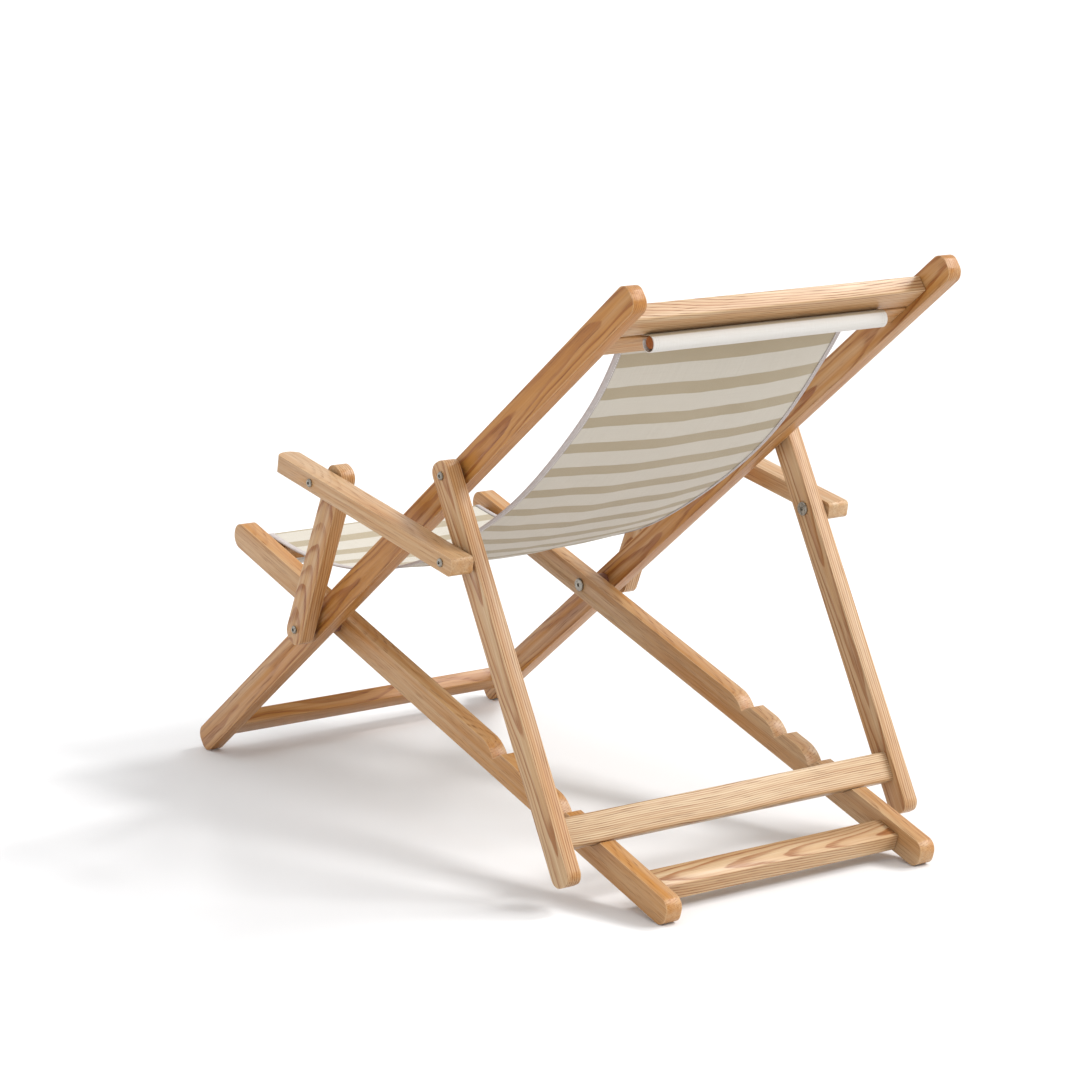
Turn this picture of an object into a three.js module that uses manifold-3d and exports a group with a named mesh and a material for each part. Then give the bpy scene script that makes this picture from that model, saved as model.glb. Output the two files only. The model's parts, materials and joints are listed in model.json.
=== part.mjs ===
// Folding deck chair with armrests, standing in the lowest of its four notches.
// Millimetres, +Z up, +Y to the sitter's rear, floor at z = 0. Left is the sitter's left, +X.
import * as THREE from "three";
import { mergeVertices } from "three/addons/utils/BufferGeometryUtils.js";
import Module from "manifold-3d";

const wasm = await Module();
wasm.setup();

// Slope of each frame above the horizontal, towards the rear, in degrees.
const BACK_ANGLE = 37.46;
const SEAT_ANGLE = -17.06;
const PROP_ANGLE = -61.07;

// Side linkage, centre to centre. The two pairs have the same sum, so it folds flat.
const MAIN_TO_PROP = 424;
const PROP_TO_ARM = 107;
const MAIN_TO_ARM = 236;
const ARM_PIVOTS = MAIN_TO_PROP + PROP_TO_ARM - MAIN_TO_ARM;

// Members: how far each runs from its pivot, its width in side view, its thickness along X.
const BACK_RAIL = { down: 362, up: 848.5, width: 35.5, thick: 19.5, corner: 14 };
const SEAT_RAIL = { front: 268.5, width: 34.5, thick: 23, corner: 14, topCorner: 16, toeCorner: 17 };
const PROP_LEG = { up: 18, down: 521, width: 34.5, thick: 20, corner: 14 };
const ARM_POST = { down: 20, up: 254, width: 35, thick: 20, corner: 15 };
const ARMREST = { front: 85, rear: 318, height: 23, width: 32, nose: 8, corner: 6 };

// Layers from the middle outwards.
const SEAT_INNER = 188;
const BUSH_ROOM = 19.5;
const WASHER_ROOM = 7;
const ARM_WASHER_ROOM = 4.5;
const GAP = 0.3;

// Cross pieces: [from, to] along their frame and [from, to] across it.
const FRONT_STRETCHER = { along: [-327, -292], across: [-10, 10.5] };
const SLOT_RAIL = { along: [719, 756], across: [-8, 13] };
const HEAD_RAIL = { along: [761, 800], across: [-8, 13] };
const REAR_STRETCHER = { along: [654, 692], across: [-13, 8] };
const SEAT_SLOT_RAIL = { along: [-236, -201], across: [-16, 4] };
const CROSSBAR = { along: [440, 478], across: [-12, 9.5] };
const CROSSBAR_EDGE = 4.5;
const TENON = { length: 12, shoulder: 4 };

// Notches in the seat rails' upper edge: 45 degree walls, the front one rolling over a shoulder.
const NOTCH = { count: 4, pitch: 71, shoulder: 42 };

// Sling: how it leaves the seat and back rails (angles in degrees, pull in mm), and its dowels.
const SLING = {
  halfWidth: 176,
  thick: 3,
  wrap: 2.5,
  seatPull: 410,
  seatSlope: -12,
  offSeat: 95,
  backPull: 145,
  backSlope: 64,
  ontoBack: 115,
};
const DOWEL = { radius: 8, half: 177, chamfer: 1 };
const SLEEVE_RADIUS = DOWEL.radius + GAP + 2;
const SLEEVE_OVERLAP = 1;
const SLEEVE_RISE = 5.5;

// Pivot hardware: M6 connector bolts with a cap nut.
const BOLT = { shank: 3, head: 5.3, rise: 2.4, crown: 1.2, socket: 2.3, socketDepth: 1.8 };
const NUT = { flange: 9, chamfer: 0.8, rise: 2.6, floor: 1, barrel: 5, length: 10, socket: 2.9 };
// How far a bolt's tip stays from the floor of the cap nut's bore, and a cutter runs past a face.
const TIP_ROOM = 1.5;
const CUT_PAST = 1;
const SHANK_HOLE = BOLT.shank + GAP;
const BARREL_HOLE = NUT.barrel + GAP;
const BUSH_RADIUS = 11;
const WASHER_RADIUS = 9.5;

const ASH = { color: 0xc98b4e, roughness: 0.5, metalness: 0 };
const DOWEL_WOOD = { color: 0xb56a3a, roughness: 0.55, metalness: 0 };
const CANVAS = { color: 0xded5c2, roughness: 0.9, metalness: 0 };
const ZINC = { color: 0xb9b4a8, roughness: 0.35, metalness: 0.9 };
const BROWN_NYLON = { color: 0x4a2a1c, roughness: 0.6, metalness: 0 };

const ARC_STEPS = 6;
const ROUND_STEPS = 24;

// ---- Frames in side view ---------------------------------------------------------------------

// A frame has its origin in (y, z) and its "along" direction sloping at an angle.
function sideFrame(origin, degrees) {
  const slope = THREE.MathUtils.degToRad(degrees);
  return { origin, slope };
}

function inSpace(frame, along, across) {
  return new THREE.Vector2(along, across).rotateAround(new THREE.Vector2(), frame.slope).add(frame.origin);
}

function inFrame(frame, point) {
  return point.clone().sub(frame.origin).rotateAround(new THREE.Vector2(), -frame.slope);
}

// Height of a frame's origin that puts the lower corner of a member's end on the floor.
function footHeight(degrees, reach, width, corner) {
  const slope = Math.abs(THREE.MathUtils.degToRad(degrees));
  return (reach - corner) * Math.sin(slope) + (width / 2 - corner) * Math.cos(slope) + corner;
}

const PIVOT_Z = footHeight(BACK_ANGLE, BACK_RAIL.down, BACK_RAIL.width, BACK_RAIL.corner);
const SEAT_REAR =
  SEAT_RAIL.corner +
  (PIVOT_Z - footHeight(SEAT_ANGLE, SEAT_RAIL.corner, SEAT_RAIL.width, SEAT_RAIL.corner)) /
    Math.sin(THREE.MathUtils.degToRad(-SEAT_ANGLE));

// How far a member's rounded end reaches from its pivot in plan.
function planReach(degrees, reach, width, corner) {
  const slope = Math.abs(THREE.MathUtils.degToRad(degrees));
  return (reach - corner) * Math.cos(slope) + (width / 2 - corner) * Math.sin(slope) + corner;
}

// The origin is midway between the foremost foot and the rearmost one.
const PIVOT_Y =
  (planReach(BACK_ANGLE, BACK_RAIL.down, BACK_RAIL.width, BACK_RAIL.corner) -
    planReach(SEAT_ANGLE, SEAT_REAR, SEAT_RAIL.width, SEAT_RAIL.corner)) /
  2;

const mainPivot = new THREE.Vector2(PIVOT_Y, PIVOT_Z);
const back = sideFrame(mainPivot, BACK_ANGLE);
const seat = sideFrame(mainPivot, SEAT_ANGLE);
const propPivot = inSpace(back, MAIN_TO_PROP, 0);
const prop = sideFrame(propPivot, PROP_ANGLE);
const armRearPivot = inSpace(prop, PROP_TO_ARM, 0);

// The armrest's front pivot, above the line from the main pivot to the rear one.
function frontArmPivot() {
  const base = armRearPivot.clone().sub(mainPivot);
  const span = base.length();
  const cosine = (MAIN_TO_ARM ** 2 + span ** 2 - ARM_PIVOTS ** 2) / (2 * MAIN_TO_ARM * span);
  const slope = base.angle() + Math.acos(cosine);
  return new THREE.Vector2(Math.cos(slope), Math.sin(slope)).multiplyScalar(MAIN_TO_ARM).add(mainPivot);
}

const armFrontPivot = frontArmPivot();

// The top dowel lies behind the slot; the front one under the front face of the seat's slot rail.
const topDowel = {
  along: SLOT_RAIL.along[1] + SLEEVE_RISE,
  across: SLOT_RAIL.across[0] - SLEEVE_RADIUS - 2 * GAP,
};
const frontDowel = {
  along: SEAT_SLOT_RAIL.along[0] - SLING.wrap + SLING.thick / 2 + DOWEL.radius + GAP,
  across: SEAT_SLOT_RAIL.across[0] - SLEEVE_RADIUS - 2 * GAP,
};

function slopeFrom(start, end) {
  return THREE.MathUtils.radToDeg(Math.atan2(end.y - start.y, end.x - start.x));
}

const post = sideFrame(mainPivot, slopeFrom(mainPivot, armFrontPivot));
const arm = sideFrame(armFrontPivot, slopeFrom(armFrontPivot, armRearPivot));

const seatX = [SEAT_INNER, SEAT_INNER + SEAT_RAIL.thick];
const backX = [seatX[1] + BUSH_ROOM, seatX[1] + BUSH_ROOM + BACK_RAIL.thick];
const propX = [backX[1] + WASHER_ROOM, backX[1] + WASHER_ROOM + PROP_LEG.thick];
const armX = [propX[1] + ARM_WASHER_ROOM, propX[1] + ARM_WASHER_ROOM + ARMREST.width];

// ---- Solids ----------------------------------------------------------------------------------

function solidOf(geometry) {
  const bare = geometry.index ? geometry.toNonIndexed() : geometry.clone();
  bare.deleteAttribute("normal");
  bare.deleteAttribute("uv");
  const merged = mergeVertices(bare, 1e-3);
  const mesh = new wasm.Mesh({
    numProp: 3,
    vertProperties: new Float32Array(merged.attributes.position.array),
    triVerts: new Uint32Array(merged.index.array),
  });
  return new wasm.Manifold(mesh);
}

function geometryOf(solid) {
  const mesh = solid.getMesh();
  const geometry = new THREE.BufferGeometry();
  geometry.setAttribute("position", new THREE.BufferAttribute(mesh.vertProperties, 3));
  geometry.setIndex(new THREE.BufferAttribute(mesh.triVerts, 1));
  return geometry;
}

function cut(geometry, tools) {
  const left = tools.reduce((solid, tool) => solid.subtract(solidOf(tool)), solidOf(geometry));
  return geometryOf(left);
}

function join(geometries) {
  return geometryOf(geometries.map(solidOf).reduce((whole, piece) => whole.add(piece)));
}

// The same geometry on the other side of the chair.
function mirrored(geometry) {
  const copy = geometry.index ? geometry.toNonIndexed() : geometry.clone();
  const points = copy.attributes.position;
  for (let i = 0; i < points.count; i += 3) {
    const [x, y, z] = [points.getX(i + 1), points.getY(i + 1), points.getZ(i + 1)];
    points.setXYZ(i + 1, points.getX(i + 2), points.getY(i + 2), points.getZ(i + 2));
    points.setXYZ(i + 2, x, y, z);
  }
  return copy.scale(-1, 1, 1);
}

// Closed outline through corners [along, across, radius], anticlockwise.
function outline(corners) {
  const shape = new THREE.Shape();
  corners.forEach(([x, y, radius = 0], i) => {
    const here = new THREE.Vector2(x, y);
    const before = new THREE.Vector2(...corners.at(i - 1)).sub(here).normalize();
    const after = new THREE.Vector2(...corners[(i + 1) % corners.length]).sub(here).normalize();
    const half = Math.acos(before.dot(after)) / 2;
    const start = before.clone().multiplyScalar(radius / Math.tan(half)).add(here);
    if (i === 0) shape.moveTo(start.x, start.y);
    else shape.lineTo(start.x, start.y);
    if (radius === 0) return;
    const middle = before.clone().add(after).normalize();
    const centre = middle.multiplyScalar(radius / Math.sin(half)).add(here);
    const end = after.clone().multiplyScalar(radius / Math.tan(half)).add(here);
    const from = start.clone().sub(centre).angle();
    const to = end.clone().sub(centre).angle();
    shape.absarc(centre.x, centre.y, radius, from, to, before.cross(after) > 0);
  });
  return shape;
}

function drill(shape, along, radius) {
  const hole = new THREE.Path();
  hole.absarc(along, 0, radius, 0, 2 * Math.PI, true);
  shape.holes.push(hole);
  return shape;
}

// An outline in a side frame, made solid from one X to another.
function slab(shape, frame, [from, to]) {
  const geometry = new THREE.ExtrudeGeometry(shape, {
    depth: to - from,
    bevelEnabled: false,
    curveSegments: ARC_STEPS,
  });
  const along = new THREE.Vector3(0, Math.cos(frame.slope), Math.sin(frame.slope));
  const across = new THREE.Vector3(0, -Math.sin(frame.slope), Math.cos(frame.slope));
  const placed = new THREE.Matrix4().makeBasis(along, across, new THREE.Vector3(1, 0, 0));
  placed.setPosition(from, frame.origin.x, frame.origin.y);
  return geometry.applyMatrix4(placed);
}

function block({ along, across }, frame, reach, radius = 0) {
  const corners = [
    [along[0], across[0], radius],
    [along[1], across[0], radius],
    [along[1], across[1], radius],
    [along[0], across[1], radius],
  ];
  return slab(outline(corners), frame, reach);
}

// A turned piece on a pivot axis: profile points [radius, distance], starting at an X.
function turned(profile, pivot, x) {
  const points = profile.map(([radius, distance]) => new THREE.Vector2(radius, distance));
  const geometry = new THREE.LatheGeometry(points, ROUND_STEPS);
  geometry.rotateZ(-Math.PI / 2);
  return geometry.translate(x, pivot.x, pivot.y);
}

// A hexagonal key socket from one X to another.
function keySocket(radius, pivot, from, to) {
  const geometry = new THREE.CylinderGeometry(radius, radius, to - from, 6);
  geometry.rotateZ(Math.PI / 2);
  return geometry.translate((from + to) / 2, pivot.x, pivot.y);
}

// ---- Rails and legs --------------------------------------------------------------------------

function bar(from, to, width, corner) {
  const half = width / 2;
  return outline([
    [from, -half, corner],
    [to, -half, corner],
    [to, half, corner],
    [from, half, corner],
  ]);
}

// The space that a cross piece's tenon takes in the member it joins, on the inner side.
function mortise({ along, across }, frame, inner) {
  const room = TENON.shoulder - GAP;
  const pocket = {
    along: [along[0] + room, along[1] - room],
    across: [across[0] + room, across[1] - room],
  };
  return block(pocket, frame, [inner - CUT_PAST, inner + TENON.length + GAP]);
}

// A cross piece between two members, with a tenon at each end.
function crossPiece(section, frame, inner, edge = 0) {
  const { along, across } = section;
  const tenon = {
    along: [along[0] + TENON.shoulder, along[1] - TENON.shoulder],
    across: [across[0] + TENON.shoulder, across[1] - TENON.shoulder],
  };
  const reach = inner - GAP;
  const tip = inner + TENON.length;
  return join([block(section, frame, [-reach, reach], edge), block(tenon, frame, [-tip, tip])]);
}

function backRail() {
  const shape = bar(-BACK_RAIL.down, BACK_RAIL.up, BACK_RAIL.width, BACK_RAIL.corner);
  drill(shape, 0, SHANK_HOLE);
  drill(shape, MAIN_TO_PROP, BARREL_HOLE);
  const joints = [FRONT_STRETCHER, SLOT_RAIL, HEAD_RAIL].map((piece) => mortise(piece, back, backX[0]));
  return cut(slab(shape, back, backX), joints);
}

// Where the crossbar's lower front edge sits in the seat frame: the root of the rear notch.
const seated = inFrame(seat, inSpace(prop, CROSSBAR.along[1], CROSSBAR.across[0]));
seated.y -= 2 * GAP;

function seatRail() {
  const half = SEAT_RAIL.width / 2;
  const depth = half - seated.y;
  const notches = Array.from({ length: NOTCH.count }, (_, i) => seated.x - i * NOTCH.pitch);
  const shape = outline([
    [-SEAT_RAIL.front, -half, SEAT_RAIL.toeCorner],
    [SEAT_REAR, -half, SEAT_RAIL.corner],
    [SEAT_REAR, half, SEAT_RAIL.corner],
    ...notches.flatMap((root) => [
      [root + depth, half],
      [root, seated.y],
      [root - depth, half, NOTCH.shoulder],
    ]),
    [-SEAT_RAIL.front, half, SEAT_RAIL.topCorner],
  ]);
  drill(shape, 0, BARREL_HOLE);
  const joints = [REAR_STRETCHER, SEAT_SLOT_RAIL].map((piece) => mortise(piece, seat, seatX[0]));
  return cut(slab(shape, seat, seatX), joints);
}

function propLeg() {
  const shape = bar(-PROP_LEG.up, PROP_LEG.down, PROP_LEG.width, PROP_LEG.corner);
  drill(shape, 0, SHANK_HOLE);
  drill(shape, PROP_TO_ARM, BARREL_HOLE);
  return cut(slab(shape, prop, propX), [mortise(CROSSBAR, prop, propX[0])]);
}

function armPost() {
  const shape = bar(-ARM_POST.down, ARM_POST.up, ARM_POST.width, ARM_POST.corner);
  drill(shape, 0, SHANK_HOLE);
  drill(shape, MAIN_TO_ARM, BARREL_HOLE);
  return slab(shape, post, propX);
}

// Round nose of the armrest in plan: what lies ahead of a shallow arc is cut away.
function armrestNose() {
  const half = ARMREST.width / 2;
  const radius = (half ** 2 + ARMREST.nose ** 2) / (2 * ARMREST.nose);
  const spread = Math.asin(half / radius);
  const plan = new THREE.Shape();
  plan.absarc(0, 0, radius, -spread, spread, false);
  plan.lineTo(radius + ARMREST.nose, half + CUT_PAST);
  plan.lineTo(radius + ARMREST.nose, -half - CUT_PAST);
  const geometry = new THREE.ExtrudeGeometry(plan, {
    depth: 2 * ARMREST.height,
    bevelEnabled: false,
    curveSegments: 2 * ARC_STEPS,
  });
  const forward = new THREE.Vector3(0, -Math.cos(arm.slope), -Math.sin(arm.slope));
  const up = new THREE.Vector3(0, -Math.sin(arm.slope), Math.cos(arm.slope));
  const placed = new THREE.Matrix4().makeBasis(forward, new THREE.Vector3(1, 0, 0), up);
  const centre = inSpace(arm, -ARMREST.front + radius, -ARMREST.height);
  placed.setPosition((armX[0] + armX[1]) / 2, centre.x, centre.y);
  return geometry.applyMatrix4(placed);
}

function armrest() {
  const half = ARMREST.height / 2;
  const shape = outline([
    [-ARMREST.front, -half],
    [ARMREST.rear, -half, ARMREST.corner],
    [ARMREST.rear, half, ARMREST.corner],
    [-ARMREST.front, half],
  ]);
  drill(shape, 0, SHANK_HOLE);
  drill(shape, ARM_PIVOTS, SHANK_HOLE);
  return cut(slab(shape, arm, armX), [armrestNose()]);
}

// ---- Sling -----------------------------------------------------------------------------------

// Points on an arc about a corner, angles in degrees in that corner's frame.
function wrapAround(frame, along, across, from, to) {
  return Array.from({ length: ARC_STEPS + 1 }, (_, i) => {
    const angle = THREE.MathUtils.degToRad(from + ((to - from) * i) / ARC_STEPS);
    return inSpace(
      frame,
      along + SLING.wrap * Math.cos(angle),
      across + SLING.wrap * Math.sin(angle),
    );
  });
}

// Middle line of the canvas, from the front sleeve up over the seat and back to the top sleeve.
function slingRun() {
  const seatEdge = [SEAT_SLOT_RAIL.along[0], SEAT_SLOT_RAIL.across[1]];
  const lowerEdge = [SLOT_RAIL.along[0], SLOT_RAIL.across[1]];
  const upperEdge = [SLOT_RAIL.along[1], SLOT_RAIL.across[1]];
  const front = wrapAround(seat, ...seatEdge, 180, SLING.offSeat);
  const under = wrapAround(back, ...lowerEdge, SLING.ontoBack, 90);
  const over = wrapAround(back, ...upperEdge, 90, 0);
  const start = front.at(-1);
  const end = under[0];
  const overSeat = inSpace(sideFrame(start, SLING.seatSlope), SLING.seatPull, 0);
  const downBack = inSpace(sideFrame(end, SLING.backSlope), -SLING.backPull, 0);
  const hang = new THREE.CubicBezierCurve(start, overSeat, downBack, end).getPoints(4 * ARC_STEPS);
  const frontSlot = inSpace(seat, seatEdge[0] - SLING.wrap, frontDowel.across);
  const topSlot = inSpace(back, upperEdge[0] + SLING.wrap, topDowel.across + DOWEL.radius + SLEEVE_OVERLAP);
  return [frontSlot, ...front, ...hang.slice(1, -1), ...under, ...over, topSlot];
}

// A band of even thickness along a run of points, as an outline.
function band(run, thick) {
  const sides = [[], []];
  run.forEach((point, i) => {
    const into = point.clone().sub(run[Math.max(i - 1, 0)]).normalize();
    const outOf = run[Math.min(i + 1, run.length - 1)].clone().sub(point).normalize();
    const way = into.add(outOf).normalize();
    const normal = new THREE.Vector2(-way.y, way.x).multiplyScalar(thick / 2);
    sides[0].push(point.clone().sub(normal));
    sides[1].unshift(point.clone().add(normal));
  });
  return new THREE.Shape([...sides[0], ...sides[1]]);
}

function sleeve(frame, { along, across }) {
  const ring = new THREE.Shape();
  ring.absarc(along, across, SLEEVE_RADIUS, 0, 2 * Math.PI, false);
  const bore = new THREE.Path();
  bore.absarc(along, across, DOWEL.radius + GAP, 0, 2 * Math.PI, true);
  ring.holes.push(bore);
  return slab(ring, frame, [-SLING.halfWidth, SLING.halfWidth]);
}

function slingCanvas() {
  const level = sideFrame(new THREE.Vector2(), 0);
  const sheet = slab(band(slingRun(), SLING.thick), level, [-SLING.halfWidth, SLING.halfWidth]);
  return join([sheet, sleeve(seat, frontDowel), sleeve(back, topDowel)]);
}

// A dowel across the chair, with a small chamfer at each end.
function dowel(frame, { along, across }) {
  const { radius, half, chamfer } = DOWEL;
  const profile = [
    [0, -half],
    [radius - chamfer, -half],
    [radius, chamfer - half],
    [radius, half - chamfer],
    [radius - chamfer, half],
    [0, half],
  ];
  return turned(profile, inSpace(frame, along, across), 0);
}

// ---- Pivot hardware --------------------------------------------------------------------------

// A bolt whose head lies on the outer face at x = outer and whose shank ends at x = tip.
function bolt(pivot, outer, tip) {
  const seatAt = outer + GAP - tip;
  const profile = [
    [0, 0],
    [BOLT.shank, 0],
    [BOLT.shank, seatAt],
    [BOLT.head, seatAt],
    [BOLT.head, seatAt + BOLT.crown],
    [BOLT.head - BOLT.crown, seatAt + BOLT.rise],
    [0, seatAt + BOLT.rise],
  ];
  const top = tip + seatAt + BOLT.rise;
  const socket = keySocket(BOLT.socket, pivot, top - BOLT.socketDepth, top + CUT_PAST);
  return cut(turned(profile, pivot, tip), [socket]);
}

// A cap nut whose flange lies on the inner face at x = inner and whose barrel goes into the wood.
function capNut(pivot, inner) {
  const x = inner - GAP - NUT.rise;
  const end = NUT.rise + NUT.length;
  const floor = NUT.rise + NUT.floor;
  const profile = [
    [0, 0],
    [NUT.flange - NUT.chamfer, 0],
    [NUT.flange, NUT.chamfer],
    [NUT.flange, NUT.rise],
    [NUT.barrel, NUT.rise],
    [NUT.barrel, end],
    [SHANK_HOLE, end],
    [SHANK_HOLE, floor],
    [0, floor],
  ];
  const socket = keySocket(NUT.socket, pivot, x - CUT_PAST, x + BOLT.socketDepth);
  return cut(turned(profile, pivot, x), [socket]);
}

function ring(pivot, radius, [from, to]) {
  const length = to - from - 2 * GAP;
  const profile = [
    [SHANK_HOLE, 0],
    [radius, 0],
    [radius, length],
    [SHANK_HOLE, length],
    [SHANK_HOLE, 0],
  ];
  return turned(profile, pivot, from + GAP);
}

// Bolt tips end a little short of the bottom of the cap nut's bore.
function tipIn(inner) {
  return inner + TIP_ROOM;
}

// ---- Assembly --------------------------------------------------------------------------------

const chair = new THREE.Group();
chair.name = "folding_deck_chair";

const finishes = new Map();

function finishOf(look) {
  if (!finishes.has(look)) finishes.set(look, new THREE.MeshStandardMaterial(look));
  return finishes.get(look);
}

function add(name, geometry, look) {
  const mesh = new THREE.Mesh(geometry, finishOf(look));
  mesh.name = name;
  chair.add(mesh);
}

function addPair(name, geometry, look) {
  add("left_" + name, geometry, look);
  add("right_" + name, mirrored(geometry), look);
}

addPair("back_rail", backRail(), ASH);
add("front_stretcher", crossPiece(FRONT_STRETCHER, back, backX[0]), ASH);
add("slot_rail", crossPiece(SLOT_RAIL, back, backX[0]), ASH);
add("head_rail", crossPiece(HEAD_RAIL, back, backX[0]), ASH);
add("top_dowel", dowel(back, topDowel), DOWEL_WOOD);

addPair("seat_rail", seatRail(), ASH);
add("rear_stretcher", crossPiece(REAR_STRETCHER, seat, seatX[0]), ASH);
add("seat_slot_rail", crossPiece(SEAT_SLOT_RAIL, seat, seatX[0]), ASH);
add("front_dowel", dowel(seat, frontDowel), DOWEL_WOOD);

addPair("prop_leg", propLeg(), ASH);
add("prop_crossbar", crossPiece(CROSSBAR, prop, propX[0], CROSSBAR_EDGE), ASH);
addPair("arm_post", armPost(), ASH);
addPair("armrest", armrest(), ASH);
add("sling", slingCanvas(), CANVAS);

addPair("main_bolt", bolt(mainPivot, propX[1], tipIn(seatX[0])), ZINC);
addPair("main_cap_nut", capNut(mainPivot, seatX[0]), ZINC);
addPair("main_bush", ring(mainPivot, BUSH_RADIUS, [seatX[1], backX[0]]), BROWN_NYLON);
addPair("main_washer", ring(mainPivot, WASHER_RADIUS, [backX[1], propX[0]]), BROWN_NYLON);

addPair("prop_bolt", bolt(propPivot, propX[1], tipIn(backX[0])), ZINC);
addPair("prop_cap_nut", capNut(propPivot, backX[0]), ZINC);
addPair("prop_washer", ring(propPivot, WASHER_RADIUS, [backX[1], propX[0]]), BROWN_NYLON);

addPair("arm_rear_bolt", bolt(armRearPivot, armX[1], tipIn(propX[0])), ZINC);
addPair("arm_rear_cap_nut", capNut(armRearPivot, propX[0]), ZINC);
addPair("arm_rear_washer", ring(armRearPivot, WASHER_RADIUS, [propX[1], armX[0]]), BROWN_NYLON);

addPair("arm_front_bolt", bolt(armFrontPivot, armX[1], armX[0]), ZINC);
addPair("arm_front_cap_nut", capNut(armFrontPivot, propX[0]), ZINC);
addPair("arm_front_washer", ring(armFrontPivot, WASHER_RADIUS, [propX[1], armX[0]]), BROWN_NYLON);

export default chair;
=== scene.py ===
"""Folding deck chair with a striped sling: looks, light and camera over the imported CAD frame."""

import json
import math
from typing import NamedTuple

import bpy
from mathutils import Matrix, Vector, noise


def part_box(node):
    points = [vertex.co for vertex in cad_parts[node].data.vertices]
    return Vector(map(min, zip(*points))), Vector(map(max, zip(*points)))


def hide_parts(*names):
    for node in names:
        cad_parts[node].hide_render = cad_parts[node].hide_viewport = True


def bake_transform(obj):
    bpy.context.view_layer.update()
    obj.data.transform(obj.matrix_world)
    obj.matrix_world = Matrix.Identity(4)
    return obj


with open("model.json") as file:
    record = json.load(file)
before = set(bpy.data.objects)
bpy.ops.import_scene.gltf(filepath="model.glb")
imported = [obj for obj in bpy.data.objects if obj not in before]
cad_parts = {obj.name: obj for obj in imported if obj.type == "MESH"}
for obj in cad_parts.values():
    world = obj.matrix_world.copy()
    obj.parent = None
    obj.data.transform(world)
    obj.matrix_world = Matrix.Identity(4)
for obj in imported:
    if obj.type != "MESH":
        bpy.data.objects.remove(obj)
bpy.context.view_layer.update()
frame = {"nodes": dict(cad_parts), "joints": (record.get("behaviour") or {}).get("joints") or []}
NODES = frame["nodes"]


# ---- Side frames of the chair, in metres ---------------------------------------------------------


def joint_place(name):
    joint = next(j for j in frame["joints"] if j["name"] == name)
    return Vector(joint["pos_m"][1:])


def slope_between(start, end):
    return math.atan2(end.y - start.y, end.x - start.x)


def middle_of(node):
    low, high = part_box(node)
    return (Vector(low) + Vector(high)) / 2


MAIN_PIVOT = joint_place("seat_fold")
PROP_PIVOT = joint_place("prop_swing")
ARM_PIVOT = joint_place("left_arm_swing")
ARM_FRONT = middle_of("left_arm_front_bolt").yz
TOP_DOWEL = middle_of("top_dowel").yz
FRONT_DOWEL = middle_of("front_dowel").yz

# The seat rails carry one pivot only, so their slope is the one the CAD gives them.
SEAT_SLOPE = math.radians(-17.06)
BACK_SLOPE = slope_between(MAIN_PIVOT, PROP_PIVOT)
PROP_SLOPE = slope_between(PROP_PIVOT, ARM_PIVOT)
POST_SLOPE = slope_between(MAIN_PIVOT, ARM_FRONT)
ARM_SLOPE = slope_between(ARM_FRONT, ARM_PIVOT)


def turned(along, across, slope):
    """A step along and across a member, as (y, z)."""
    return Vector(
        (
            along * math.cos(slope) - across * math.sin(slope),
            along * math.sin(slope) + across * math.cos(slope),
        )
    )


def local(origin, slope, point):
    """A point (y, z) as (along, across) of a frame."""
    gap = point - origin
    return turned(gap.x, gap.y, -slope)


# ---- Node helpers --------------------------------------------------------------------------------

# Most of a noise texture's values lie between these.
NOISE_LOW, NOISE_HIGH = 0.3, 0.7


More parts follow.
